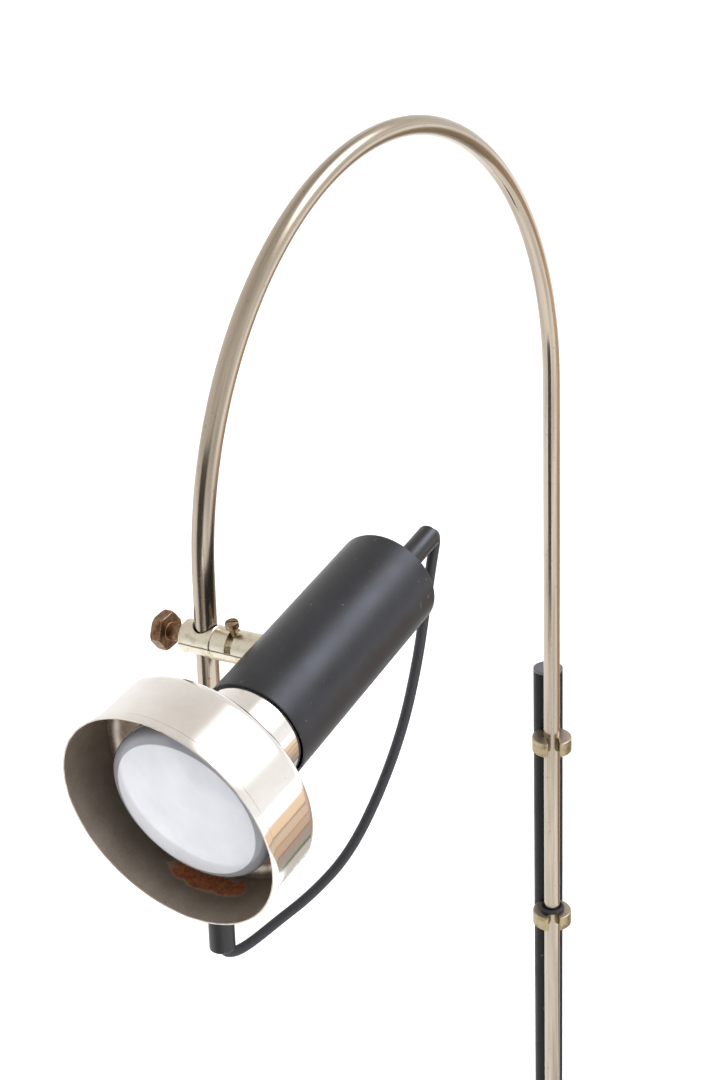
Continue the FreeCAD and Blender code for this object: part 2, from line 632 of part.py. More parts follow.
def screw_shell():
    return in_head_frame(turned("screw_shell", [
        ("shell_inner", "shell_rear"), ("shell_radius", "shell_rear"), ("shell_radius", "shell_front"),
        ("shell_inner", "shell_front")]))


def centre_contact():
    return in_head_frame(turned("centre_contact", [
        (0, "contact_rear"), ("contact_radius", "contact_rear"), ("contact_radius", "contact_front"),
        (0, "contact_front")], rounds=[("contact_radius", "contact_front", 1)]))


def holder_bridge():
    """A steel strap across the housing that carries the lampholder."""
    body = new_body("holder_bridge")
    block(body, "Additive", "2 * bridge_half_length", "bridge_width", "bridge_height", (0, 0, "bridge_place"))
    for side in ("-1", "1"):
        block(body, "Additive", "bridge_foot_thickness", "bridge_width", "bridge_foot_height",
              (f"{side} * (bridge_half_length - bridge_foot_thickness / 2)", 0, "bridge_place"))
    round_bar(body, "Subtractive", "holder_nipple_diameter / 2 + part_gap", "3 * bridge_height",
              (0, 0, "bridge_place - bridge_height"))
    return in_head_frame(body)


def holder_nipple():
    return in_head_frame(turned("holder_nipple", [
        ("nipple_bore / 2", "holder_nipple_rear"), ("holder_nipple_diameter / 2", "holder_nipple_rear"),
        ("holder_nipple_diameter / 2", "holder_rear - part_gap"),
        ("nipple_bore / 2", "holder_rear - part_gap")]))


def holder_nut():
    body = new_body("holder_nut")
    hexagon(body, "nut_corner", "holder_nut_height", (0, 0, "bridge_place - holder_nut_height"))
    round_bar(body, "Subtractive", "holder_nipple_diameter / 2 + press_gap", "3 * holder_nut_height",
              (0, 0, "bridge_place - 2 * holder_nut_height"))
    return in_head_frame(body)


def terminal_block():
    body = new_body("terminal_block")
    block(body, "Additive", "terminal_length", "terminal_width", "terminal_height", (0, 0, "terminal_place"))
    for side in ("-1", "1"):
        round_bar(body, "Subtractive", "terminal_hole_radius", "3 * terminal_height",
                  (f"{side} * terminal_length / 4", 0, "terminal_place - terminal_height"))
    return in_head_frame(body)


def bulb_glass():
    """An opal reflector bulb: a shallow domed front, a tapering back and a neck."""
    return in_head_frame(turned("bulb_glass", [
        (0, "bulb_apex"), ("tip_flat", "bulb_apex"), ("arc", "dome_curve", -1),
        ("bulb_radius - edge_front_in", "bulb_widest + edge_front"), ("arc", "edge_curve", -1),
        ("bulb_radius - edge_rear_in", "bulb_widest - edge_rear"), ("arc", "back_curve", 1),
        ("bulb_neck_radius", "bulb_neck_start"),
        ("stem_radius", "stem_start"), ("cap_glass_radius", "cap_front"), (0, "cap_front")],
        rounds=[("bulb_radius - edge_front_in", "bulb_widest + edge_front", "edge_round")]))


def bulb_cap():
    return in_head_frame(turned("bulb_cap", [
        (0, "cap_rear"), ("cap_radius - cap_floor_in", "cap_rear"), ("cap_radius", "cap_rear + cap_shoulder"),
        ("cap_radius", "cap_front"), (0, "cap_front")]))


def bulb_contact():
    return in_head_frame(turned("bulb_contact", [
        (0, "tip_rear"), ("tip_radius - 1", "tip_rear"), ("tip_radius", "cap_rear"), (0, "cap_rear")]))


# ---------------------------------------------------------------------------------------------------
# Lead from the head's grip to the arm's cap, in three lengths that meet face to face
# ---------------------------------------------------------------------------------------------------

OVER_TO_DOWN = (5.6, 0.6, -5)
HANGING = (
    (113.0, -12.1, 22.7), (109.3, -9.3, -3.0), (104.0, -5.4, -41.5), (94.8, 1.1, -84.5),
    (80.2, 11.5, -126.5), (63.0, 23.6, -161.5), (42.6, 38.0, -182.5), (21.4, 53.1, -196.5),
    (5.7, 62.4, -205.4), (-3.0, 68.6, -208.1),
)


def lead_route():
    """The lead's route: out of the grip, over and down, then forward and up into the leg's cap."""
    back = HEAD_TURN.multVec(Vector(0, 0, -1))
    start = in_head(number("grip_up"), -number("grip_side"), number("lead_in - housing_rear - grip_length"))
    over = start + back * number("lead_out")
    down = over + Vector(*OVER_TO_DOWN)
    turn_in = LEG_END + LEG_DOWN * number("leg_cap_length - leg_cap_overlap + lead_drop")
    hanging = [HEAD + Vector(*spot) for spot in HANGING]
    return [start, over, down] + hanging + [turn_in, turn_in - LEG_DOWN * number("lead_up")]


def tube_along(points, radius):
    """A round tube along straight runs joined by tangent arcs, with the arcs' radii."""
    edges, radii, last = [], [], points[0]
    for before, corner, after in zip(points, points[1:], points[2:]):
        into, away = (corner - before), (after - corner)
        half_turn = into.getAngle(away) / 2
        reach = 0.45 * min(into.Length, away.Length)
        bend = reach / math.tan(half_turn)
        begin = corner - Vector(into).normalize() * reach
        finish = corner + Vector(away).normalize() * reach
        inward = (Vector(away).normalize() - Vector(into).normalize()).normalize()
        middle = corner + inward * bend * (1 / math.cos(half_turn) - 1)
        edges.append(Part.LineSegment(last, begin).toShape())
        edges.append(Part.Arc(begin, middle, finish).toShape())
        radii.append(bend)
        last = finish
    edges.append(Part.LineSegment(last, points[-1]).toShape())
    path = Part.Wire(edges)
    face = Part.Wire(Part.Circle(points[0], points[1] - points[0], radius).toShape())
    return path.makePipeShell([face], True, False), path.Length, radii


def lead_pieces():
    route = lead_route()
    radius = number("lead_diameter") / 2
    first_cut, second_cut = [(route[place] + route[place + 1]) * 0.5 for place in (5, 7)]
    lengths = {
        "head_lead": route[:6] + [first_cut],
        "clamp_lead": [first_cut] + route[6:8] + [second_cut],
        "leg_lead": [second_cut] + route[8:],
    }
    pieces = []
    for label, points in lengths.items():
        shape, length, radii = tube_along(points, radius)
        expected = math.pi * radius ** 2 * length
        print(label, "length", round(length, 1), "volume ratio", round(shape.Volume / expected, 4),
              "tightest radius", round(min(radii), 1))
        piece = doc.addObject("Part::Feature", label)
        piece.Label = label
        piece.Shape = shape
        pieces.append(piece)
    return pieces


# ---------------------------------------------------------------------------------------------------
# Build, check and write
# ---------------------------------------------------------------------------------------------------

parts = [
    base_pad(), base_plate(), pole(), pole_cap(), pole_plug(), base_bolt(), base_washer(),
    arm_clip("upper_clip", "upper_clip_middle"), arm_clip("lower_clip", "lower_clip_middle"), stop_ring(),
    arm_tube(), arm_lead(), head_leg_cap(), tail_cap(),
    clamp_liner(), clamp_body(), tilt_screw(), pressure_disc(), clamp_knob(),
    swivel_sleeve(), sleeve_nipple(), sleeve_nut(), housing(), cord_grip(), grip_nut(), shade(),
    lampholder(), shade_ring(), screw_shell(), centre_contact(), holder_bridge(), holder_nipple(),
    holder_nut(), terminal_block(), bulb_glass(), bulb_cap(), bulb_contact(),
] + lead_pieces()
doc.recompute()

faults = [thing.Name for thing in doc.Objects if "Invalid" in thing.State or "Error" in thing.State]
faults += [part.Label for part in parts if part.Shape.isNull() or not part.Shape.isValid()]
if faults:
    raise RuntimeError(f"failed objects: {faults}")

os.makedirs("parts", exist_ok=True)
for part in parts:
    solids = len(part.Shape.Solids)
    print(f"{part.Label}: {solids} solid, {part.Shape.Volume / 1000:.2f} cm3")
    part.Shape.exportStep(f"parts/{part.Label}.step")
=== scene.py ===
# %% [markdown]
# # An adjustable arm floor lamp
#
# The lamp is a heavy round base with a short black pole. A long bent tube of nickel-plated brass
# slides and turns in two clips on the pole, and its short leg carries a spot head in a clamp. The
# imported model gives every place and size. This file gives the lamp its look: it keeps the fixed
# pieces whose shape is already right, rebuilds the ones that need a softer or finer shape, and
# gives each surface a finish of its own.

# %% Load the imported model
import json
import math

import bmesh
import bpy
from mathutils import Matrix, Vector


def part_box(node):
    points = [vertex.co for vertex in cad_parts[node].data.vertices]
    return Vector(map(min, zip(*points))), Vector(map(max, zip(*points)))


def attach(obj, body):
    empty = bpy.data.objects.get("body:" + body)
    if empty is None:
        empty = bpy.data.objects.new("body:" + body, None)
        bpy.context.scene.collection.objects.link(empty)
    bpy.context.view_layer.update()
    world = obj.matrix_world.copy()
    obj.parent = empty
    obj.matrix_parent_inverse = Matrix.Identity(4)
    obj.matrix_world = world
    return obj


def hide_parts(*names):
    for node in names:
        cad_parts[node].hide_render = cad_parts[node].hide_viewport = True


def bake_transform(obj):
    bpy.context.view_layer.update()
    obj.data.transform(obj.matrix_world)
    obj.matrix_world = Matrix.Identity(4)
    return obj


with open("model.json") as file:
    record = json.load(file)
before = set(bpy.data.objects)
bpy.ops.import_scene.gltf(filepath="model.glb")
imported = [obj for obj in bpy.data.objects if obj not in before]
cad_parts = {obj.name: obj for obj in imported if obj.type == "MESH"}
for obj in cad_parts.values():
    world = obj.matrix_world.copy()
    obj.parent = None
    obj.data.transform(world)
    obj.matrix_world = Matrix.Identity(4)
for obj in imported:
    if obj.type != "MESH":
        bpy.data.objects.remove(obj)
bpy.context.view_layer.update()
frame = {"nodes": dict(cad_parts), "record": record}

MM = 0.001
print("pieces in the packed model:", len(frame["nodes"]))

# %% [markdown]
# ## The camera
#
# A small lamp looks like the real thing only from the right distance, because distance sets the
# perspective. The camera stands about 1.7 metres up and looks a little down on the head, with a
# moderate telephoto lens. Its place and its three directions are written as plain vectors, since a
# matrix built from them has no hidden order of turns.

# %% Place the camera
CAMERA_PLACE = Vector((-1.23550, -0.60560, 1.66849))
CAMERA_AHEAD = Vector((0.784305, 0.495423, -0.373392))
CAMERA_RIGHT = Vector((0.520154, -0.853163, -0.039415))
CAMERA_UP = Vector((0.338091, 0.163308, 0.926836))
LENS_MM = 62.486

camera_data = bpy.data.cameras.new("camera")
camera_data.lens = LENS_MM
camera_data.sensor_width = 36
camera_data.clip_end = 100
camera = bpy.data.objects.new("camera", camera_data)
camera.matrix_world = Matrix((CAMERA_RIGHT, CAMERA_UP, -CAMERA_AHEAD)).transposed().to_4x4()
camera.matrix_world.translation = CAMERA_PLACE
bpy.context.collection.objects.link(camera)
bpy.context.scene.camera = camera
print("camera stands", round(CAMERA_PLACE.z, 2), "m up")

# %% [markdown]
# ## Adding nodes
#
# Every finish below is a small tree of nodes. One helper adds a node: it takes the node's settings
# by name and its inputs by name or number, and an input may be a number, a colour or another
# node. Colours are written as the eye sees them, in hex, and one function turns them to the linear
# values that the renderer needs.

# %% Helpers for finishes
def linear(hex_colour):
    """A hex colour as linear red, green, blue and alpha."""
    channels = [int(hex_colour[place:place + 2], 16) / 255 for place in (1, 3, 5)]
    return [c / 12.92 if c <= 0.04045 else ((c + 0.055) / 1.055) ** 2.4 for c in channels] + [1.0]


def add(tree, kind, inputs=None, stops=None, **settings):
    """One node with its settings and links. Stops are the places and colours of a colour ramp."""
    made = tree.nodes.new("ShaderNode" + kind)
    for name, value in settings.items():
        setattr(made, name, value)
    for place, colour in stops or ():
        spare = made.color_ramp.elements
        stop = spare[0] if place == stops[0][0] else spare[-1] if place == stops[-1][0] else spare.new(place)
        stop.position = place
        stop.color = colour
    for name, value in (inputs or {}).items():
        socket = made.inputs[name]
        if isinstance(value, bpy.types.Node):
            value = value.outputs[0]
        if isinstance(value, bpy.types.NodeSocket):
            tree.links.new(value, socket)
        else:
            socket.default_value = value
    return made


def new_finish(name, **sockets):
    """A material whose uniform values sit straight on the shader's sockets."""
    material = bpy.data.materials.new(name)
    material.use_nodes = True
    shader = material.node_tree.nodes["Principled BSDF"]
    for socket, value in sockets.items():
        shader.inputs[socket.replace("_", " ")].default_value = value
    return material, material.node_tree, shader


def patches(tree, place, size, low, high, detail=5.0):
    """A mask from 0 to 1 of soft-edged patches about `size` millimetres across."""
    noise = add(tree, "TexNoise", {"Vector": place, "Scale": 1 / (size * MM), "Detail": detail,
                                   "Roughness": 0.62})
    return add(tree, "MapRange", {"Value": noise, "From Min": low, "From Max": high})


def blended(tree, mask, first, second):
    """A colour that goes from the first to the second with a mask; each is hex or a socket."""
    sides = [linear(side) if isinstance(side, str) else side for side in (first, second)]
    return add(tree, "Mix", {0: mask, 6: sides[0], 7: sides[1]}, data_type="RGBA").outputs[2]


def worn_edges(tree, radius):
    """A mask that is 1 on sharp outside and inside edges, and a normal that softens them."""
    soft = add(tree, "Bevel", {"Radius": radius * MM}, samples=6)
    flat = add(tree, "NewGeometry")
    same = add(tree, "VectorMath", {0: soft, 1: flat.outputs["Normal"]}, operation="DOT_PRODUCT")
    mask = add(tree, "MapRange", {"Value": same.outputs["Value"], "From Min": 0.97, "From Max": 0.8})
    return mask, soft.outputs[0]


def relief(tree, height, depth, normal=None):
    """A bump of `depth` millimetres from a height between 0 and 1."""
    inputs = {"Height": height, "Distance": depth * MM, "Strength": 1.0}
    if normal is not None:
        inputs["Normal"] = normal
    return add(tree, "Bump", inputs)


print("white is", linear("#FFFFFF"))

# %% [markdown]
# ## Two families of finish
#
# Most of the lamp is either plated or bare metal, or a black coating, plastic or rubber. A metal
# dulls in patches, and its rubbed edges stay bright. A black surface is never plain black: handling
# leaves slightly polished and slightly dusty zones, fine pale scuffs, and a faint texture from the
# mould or the spray gun. Two functions make these families from colours and real sizes.

# %% Metal and black finishes
def metal_finish(name, bright, dull, patch, rough, edge=None, spread=(0.46, 0.66), depth=0.02,
                 soften=0.5):
    """A metal that has tarnished in patches `patch` mm across, over a roughness that wanders
    between two values. Where `edge` is a colour, rubbed edges show it."""
    material, tree, shader = new_finish(name, Metallic=1.0)
    place = add(tree, "TexCoord").outputs["Object"]
    mask = patches(tree, place, patch, *spread)
    fine = patches(tree, place, patch / 9, 0.35, 0.75)
    colour = blended(tree, mask, bright, dull)
    normal = None
    if edge:
        rubbed, normal = worn_edges(tree, soften)
        colour = blended(tree, rubbed, colour, edge)
    both = add(tree, "Math", {0: mask, 1: fine}, operation="ADD")
    tree.links.new(colour, shader.inputs["Base Color"])
    tree.links.new(add(tree, "MapRange", {"Value": both, "From Max": 2.0, "To Min": rough[0],
                                          "To Max": rough[1]}).outputs[0], shader.inputs["Roughness"])
    tree.links.new(relief(tree, fine, depth, normal).outputs[0], shader.inputs["Normal"])
    return material


def black_finish(name, deep, handled, rough, grain=0.5, scuff="#8A8883", scuffs=(0.70, 0.76),
                 depth=0.03, soften=None, shine=0.5):
    """A black surface with `grain` mm texture, handled patches, and small pale scuffs. A duller one
    has less shine than the usual 0.5."""
    material, tree, shader = new_finish(name, IOR=1.5, Specular_IOR_Level=shine)
    place = add(tree, "TexCoord").outputs["Object"]
    worn = patches(tree, place, 28, 0.38, 0.68)
    texture = patches(tree, place, grain, 0.3, 0.7, 2.0)
    marks = patches(tree, place, 7, *scuffs, 3.0)
    streak = add(tree, "Mapping", {"Vector": place, "Rotation": (0.4, 0.7, 0.2), "Scale": (1, 1, 0.12)})
    scratch = patches(tree, streak, 1.6, 0.72, 0.78, 2.0)
    pale = add(tree, "Math", {0: marks, 1: scratch}, operation="MAXIMUM")
    colour = blended(tree, worn, deep, handled)
    thin = add(tree, "Math", {0: pale, 1: 0.55}, operation="MULTIPLY")
    tree.links.new(blended(tree, thin, colour, scuff), shader.inputs["Base Color"])
    tree.links.new(add(tree, "MapRange", {"Value": worn, "To Min": rough[0],
                                          "To Max": rough[1]}).outputs[0], shader.inputs["Roughness"])
    normal = add(tree, "Bevel", {"Radius": soften * MM}, samples=6).outputs[0] if soften else None
    tree.links.new(relief(tree, texture, depth, normal).outputs[0], shader.inputs["Normal"])
    return material


# %% [markdown]
# ## The flexible lead
#
# A black rubber lead leaves the nose on the back of the head, turns over at once, and hangs down in
# an easy curve. It then runs forward and turns sharply up into the cap at the foot of the arm's
# short leg. It crosses three joints, so it is made in three lengths that meet end to end. Every
# length is one smooth NURBS curve, because rubber lead has no corners. The curve is given a round
# section and turned into a mesh, and its centreline is read from the same curve.

# %% Points of the lead, from the head down to the arm's leg
LEAD_WIDTH = 0.0065
ROUTE = [
    (-0.362053, -0.098951, 1.261012), (-0.354754, -0.098951, 1.262737), (-0.349154, -0.098351, 1.257737),
    (-0.350977, -0.096553, 1.244200), (-0.354677, -0.093753, 1.218500), (-0.359977, -0.089853, 1.180000),
    (-0.369177, -0.083353, 1.137000), (-0.383777, -0.072953, 1.095000), (-0.400977, -0.060853, 1.060000),
    (-0.421377, -0.046453, 1.039000), (-0.442577, -0.031353, 1.025000), (-0.458277, -0.022053, 1.016100),
    (-0.466977, -0.015853, 1.013400), (-0.471848, -0.012451, 1.017200), (-0.471579, -0.012451, 1.024195),
]
FIRST_CUT = (-0.364577, -0.086603, 1.158500)
SECOND_CUT = (-0.392377, -0.066903, 1.077500)


def lead_length(name, points, node):
    """One length of lead through its control points as a mesh tube; its centreline is read, not kept."""
    data = bpy.data.curves.new(name, "CURVE")
    data.dimensions = "3D"
    data.resolution_u = 12
    data.bevel_resolution = 6
    data.use_fill_caps = True
    spline = data.splines.new("NURBS")
    spline.points.add(len(points) - 1)
    for point, spot in zip(spline.points, points):
        point.co = (*spot, 1)
    spline.order_u = 3
    spline.use_endpoint_u = True
    curve = bpy.data.objects.new(name + "_line", data)
    path = [tuple(v.co) for v in bpy.data.meshes.new_from_object(curve).vertices]
    data.bevel_depth = LEAD_WIDTH / 2
    tube = bpy.data.objects.new(name, bpy.data.meshes.new_from_object(curve))
    tube.data.shade_smooth()
    bpy.data.objects.remove(curve)
    bpy.context.collection.objects.link(tube)
    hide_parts(node)
    return tube


head_flex = lead_length("head_flex", ROUTE[:6] + [FIRST_CUT], "head_lead")
clamp_flex = lead_length("clamp_flex", [FIRST_CUT] + ROUTE[6:8] + [SECOND_CUT], "clamp_lead")
leg_flex = lead_length("leg_flex", [SECOND_CUT] + ROUTE[8:], "leg_lead")
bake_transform(head_flex)
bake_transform(clamp_flex)
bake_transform(leg_flex)

# %% [markdown]
# ## Turning shapes on a lathe
#
# Most pieces of the lamp were spun or turned, so most new pieces here come from one outline that is
# spun about an axis. The outline is a short list of corners, each a radius and a place along the
# axis in millimetres. After the spin, chosen rings are bevelled into real roundings, so the outline
# itself stays readable.

# %% Lathe and finishing helpers
HEAD_PLACE = Vector(next(joint["pos_m"] for joint in frame["record"]["behaviour"]["joints"]
                         if joint["name"] == "head_tilt"))
HEAD_PITCH = 13.3
HEAD_POSE = Matrix.Translation(HEAD_PLACE) @ Matrix.Rotation(-math.radians(90 + HEAD_PITCH), 4, "Y")


def lathe(outline, rounds=(), steps=96):
    """A mesh spun about Z from (radius, along) corners. A closed outline makes a hollow piece, and
    one that starts and ends on the axis a solid one. Rounds are (radius, along, size, segments)."""
    shape = bmesh.new()
    corners = [shape.verts.new((radius * MM, 0, along * MM)) for radius, along in outline]
    hollow = outline[0][0] > 0
    for first, second in zip(corners, corners[1:] + corners[:1] * hollow):
        shape.edges.new((first, second))
    bmesh.ops.spin(shape, geom=shape.verts[:] + shape.edges[:], cent=(0, 0, 0), axis=(0, 0, 1),
                   angle=math.tau, steps=steps, use_merge=True)
    bmesh.ops.remove_doubles(shape, verts=shape.verts, dist=1e-6)
    bmesh.ops.recalc_face_normals(shape, faces=shape.faces)
    for radius, along, size, segments in rounds:
        ring = [edge for edge in shape.edges
                if all(abs(v.co.xy.length - radius * MM) < 2e-5 and abs(v.co.z - along * MM) < 2e-5
                       for v in edge.verts)]
        bmesh.ops.bevel(shape, geom=ring, offset=size * MM, offset_type="OFFSET", segments=segments,
                        profile=0.5, affect="EDGES", material=-1, clamp_overlap=False)
    return shape


def finished(name, shape, pose, materials, body, slot, *nodes, sharp=32):
    """Turn a bmesh into a lamp piece: placed, smoothed, given its finish and body. The slot is not used."""
    shape.transform(pose)
    for edge in shape.edges:
        edge.smooth = not (edge.is_manifold and edge.calc_face_angle() > math.radians(sharp))
    for face in shape.faces:
        face.smooth = True
    mesh = bpy.data.meshes.new(name)
    shape.to_mesh(mesh)
    shape.free()
    piece = bpy.data.objects.new(name, mesh)
    for material in materials:
        mesh.materials.append(material)
    bpy.context.collection.objects.link(piece)
    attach(piece, body)
    if nodes:
        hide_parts(*nodes)
    print(name, "has", len(mesh.polygons), "faces")
    return piece


# %% [markdown]
# ## The arm tube
#
# The arm is one length of 13 mm brass tube, bent over a former and plated with nickel. It is made
# the way a pipe bender would do it: a ring is pulled out straight, spun round the former's centre,
# and pulled out straight again. Years of sliding leave fine marks that follow the tube, so each
# point of the mesh also keeps its place across the section. A pattern read from that runs along the
# tube and has no seam.

# %% Bend the arm
TUBE_RADIUS = 6.5
BEND_RADIUS = 222
LEG_LEAN = math.radians(2.2)
tube_low, tube_high = (Vector(corner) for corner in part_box("arm_tube"))
LEG_X = tube_high.x - TUBE_RADIUS * MM
LEG_Y = (tube_low.y + tube_high.y) / 2
BEND_CENTRE = Vector((LEG_X - BEND_RADIUS * MM, LEG_Y, 1.25))
SHORT_LEG = 0.228


def arm_shape():
    """The bent tube's outside, with each point's place on the section and along the tube kept."""
    shape = bmesh.new()
    bmesh.ops.create_circle(shape, segments=56, radius=TUBE_RADIUS * MM,
                            matrix=Matrix.Translation((LEG_X, LEG_Y, tube_low.z)))
    edges = shape.edges[:]

    def pull(edges, way):
        new = bmesh.ops.extrude_edge_only(shape, edges=edges)["geom"]
        bmesh.ops.translate(shape, verts=[v for v in new if isinstance(v, bmesh.types.BMVert)], vec=way)
        return [edge for edge in new if isinstance(edge, bmesh.types.BMEdge)]

    edges = pull(edges, (0, 0, BEND_CENTRE.z - tube_low.z))
    around = {v for edge in edges for v in edge.verts}
    turned = bmesh.ops.spin(shape, geom=list(around) + edges, cent=BEND_CENTRE, axis=(0, -1, 0),
                            angle=math.pi - LEG_LEAN, steps=120)["geom_last"]
    edges = [edge for edge in turned if isinstance(edge, bmesh.types.BMEdge)]
    pull(edges, Vector((-math.sin(LEG_LEAN), 0, -math.cos(LEG_LEAN))) * SHORT_LEG)
    bmesh.ops.remove_doubles(shape, verts=shape.verts, dist=1e-6)
    bmesh.ops.recalc_face_normals(shape, faces=shape.faces)
    section = shape.verts.layers.float_vector.new("section")
    for vert in shape.verts:
        away = vert.co - BEND_CENTRE
        if away.x > 0 and away.z < 0:
            out, along = away.x, away.z
        elif away.x < 0 and away.z < BEND_RADIUS * MM * math.sin(LEG_LEAN):
            down = Vector((-math.sin(LEG_LEAN), 0, -math.cos(LEG_LEAN)))
            out = -away.x * math.cos(LEG_LEAN) + away.z * math.sin(LEG_LEAN)
            along = BEND_RADIUS * MM * math.pi + away.dot(down)
        else:
            out = math.hypot(away.x, away.z)
            along = BEND_RADIUS * MM * math.atan2(away.z, away.x)
        vert[section] = (away.y, out - BEND_RADIUS * MM, along)
    return shape


def tube_finish():
    """Nickel over brass, polished along its length: warm and bright, with fine lines that follow
    the tube and a few dull spots where the plating has aged."""
    material, tree, shader = new_finish("polished_nickel_tube", Metallic=1.0)
    section = add(tree, "Attribute", attribute_name="section").outputs["Vector"]
    along = add(tree, "Mapping", {"Vector": section, "Scale": (1, 1, 0.004)})
    lines = patches(tree, along, 0.7, 0.3, 0.7, 3.0)
    broad = add(tree, "Mapping", {"Vector": section, "Scale": (1, 1, 0.03)})
    zones = patches(tree, broad, 6, 0.42, 0.66, 3.0)
    place = add(tree, "TexCoord").outputs["Object"]
    spots = patches(tree, place, 3, 0.66, 0.74, 3.0)
    colour = blended(tree, zones, "#B7AB9B", "#94897A")
    tree.links.new(blended(tree, spots, colour, "#7E7364"), shader.inputs["Base Color"])
    dull = add(tree, "Math", {0: zones, 1: spots}, operation="ADD")
    tree.links.new(add(tree, "MapRange", {"Value": dull, "From Max": 2.0, "To Min": 0.13,
                                          "To Max": 0.4}).outputs[0], shader.inputs["Roughness"])
    tree.links.new(relief(tree, lines, 0.004).outputs[0], shader.inputs["Normal"])
    return material


finished("arm_bend", arm_shape(), Matrix(), [tube_finish()], "arm", "nickel_tube", "arm_tube")

# %% [markdown]
# ## The shade
#
# The shade was spun from one thin sheet of metal: a cylinder with a soft shoulder, a flared throat
# and a neck that the lampholder grips. A narrow band is turned out at the rim to stiffen it. Its
# outline has the sheet's real thickness, so the bright rim and the inside both come from the same
# spin. Outside it is polished and chromed. Inside the plating is thin, and has gone brown-grey
# with heat, with one patch of rust low on the wall, but the shoulder behind the bulb has kept its
# colour. The shade leans two degrees in the slack of its flange, as a much-handled one does.

# %% Spin the shade
RIM = 139
BEAD = RIM - 4.8
BEAD_STEP = 0.4
LIP = 0.6
HEAT_LINE = 103
SHADE_OUTLINE = [
    (65, RIM), (65, BEAD), (64.7, BEAD - BEAD_STEP), (64.7, 97), (29.85, 97), (29.85, 50), (20.3, 50),
    (20.3, 51), (28.85, 51), (28.85, 98), (64, 98), (64, RIM),
]
SHADE_ROUNDS = [(64.7, 97, 8, 12), (64, 98, 7, 12), (29.85, 97, 24, 20), (28.85, 98, 25, 20),
                (65, RIM, 0.35, 3), (64, RIM, 0.35, 3), (29.85, 50, 1.2, 4)]
SKEW, SKEW_TOWARDS, FLANGE = math.radians(2), math.radians(57), Vector((0, 0, 50.5 * MM))
LEAN_AXIS = Vector((-math.sin(SKEW_TOWARDS), math.cos(SKEW_TOWARDS), 0))
SHADE_POSE = (HEAD_POSE @ Matrix.Translation(FLANGE) @ Matrix.Rotation(SKEW, 4, LEAN_AXIS)
              @ Matrix.Translation(-FLANGE))


def shade_shape():
    """The shade with its finishes picked by place: 0 outside, 1 the heated wall, 2 the back inside
    and the lip, 3 the groove of the bead."""
    shape = lathe(SHADE_OUTLINE, SHADE_ROUNDS, steps=160)
    for face in shape.faces:
        centre = face.calc_center_median()
        outwards = Vector((centre.x, centre.y, 0)).normalized()
        if (BEAD - BEAD_STEP) * MM < centre.z < BEAD * MM and centre.xy.length > 64.2 * MM:
            face.material_index = 3
        elif face.normal.z - face.normal.dot(outwards) > 0.02:
            face.material_index = 1 if HEAT_LINE * MM < centre.z < (RIM - LIP) * MM else 2
    return shape


def chrome_finish():
    """Bright chrome on polished steel: almost a mirror, faintly warm, with a few hazy finger marks,
    small brownish pits and a faint waviness."""
    material, tree, shader = new_finish("polished_chrome", Metallic=1.0)
    place = add(tree, "TexCoord").outputs["Object"]
    haze = patches(tree, place, 34, 0.45, 0.75, 4.0)
    pits = patches(tree, place, 1.4, 0.74, 0.8, 2.0)
    colour = blended(tree, haze, "#F0ECE8", "#E4DFD9")
    tree.links.new(blended(tree, pits, colour, "#A08C78"), shader.inputs["Base Color"])
    tree.links.new(add(tree, "MapRange", {"Value": haze, "To Min": 0.08,
                                          "To Max": 0.17}).outputs[0], shader.inputs["Roughness"])
    wave = patches(tree, place, 22, 0.2, 0.8, 1.0)
    tree.links.new(relief(tree, wave, 0.06).outputs[0], shader.inputs["Normal"])
    return material


RUST_PLACE = HEAD_POSE @ Vector((-0.0615, 0.0068, 0.1145))
RUST_HALF_SIZE = (0.0075, 0.0235, 0.0115)


def heated_plating_finish():
    """The inside of the shade: thin plating dulled brown-grey by the bulb's heat, matt and slightly
    cloudy, with one flat patch of orange-brown rust and darker specks round it."""
    material, tree, shader = new_finish("heat_dulled_plating", Metallic=0.85)
    place = add(tree, "TexCoord").outputs["Object"]
    cloud = patches(tree, place, 24, 0.35, 0.7)
    grain = patches(tree, place, 0.9, 0.3, 0.72, 3.0)
    colour = blended(tree, cloud, "#AFA295", "#9A8E80")
    colour = blended(tree, add(tree, "Math", {0: grain, 1: 0.25}, operation="MULTIPLY"), colour, "#5B524B")
    near = add(tree, "Mapping", {"Vector": place, "Location": RUST_PLACE,
                                 "Rotation": (0, -math.radians(HEAD_PITCH), 0),
                                 "Scale": RUST_HALF_SIZE}, vector_type="TEXTURE")
    distance = add(tree, "VectorMath", {0: near}, operation="LENGTH").outputs["Value"]
    ragged = add(tree, "TexNoise", {"Vector": place, "Scale": 80, "Detail": 8, "Roughness": 0.6})
    shifted = add(tree, "Math", {0: ragged, 1: 1.5, 2: distance}, operation="MULTIPLY_ADD")
    rust = add(tree, "MapRange", {"Value": shifted, "From Min": 1.82, "From Max": 1.62})
    tone = patches(tree, place, 2.2, 0.35, 0.65)
    rusty = blended(tree, tone, "#9A5A30", "#6B3A20")
    tree.links.new(blended(tree, rust, colour, rusty), shader.inputs["Base Color"])
    bare = add(tree, "Math", {0: 0.85, 1: rust}, operation="SUBTRACT", use_clamp=True)
    tree.links.new(bare.outputs[0], shader.inputs["Metallic"])
    tree.links.new(add(tree, "MapRange", {"Value": rust, "To Min": 0.46, "To Max": 0.85}).outputs[0],
                   shader.inputs["Roughness"])
    tree.links.new(relief(tree, add(tree, "Math", {0: grain, 1: rust}, operation="ADD"), 0.05).outputs[0],
                   shader.inputs["Normal"])
    return material


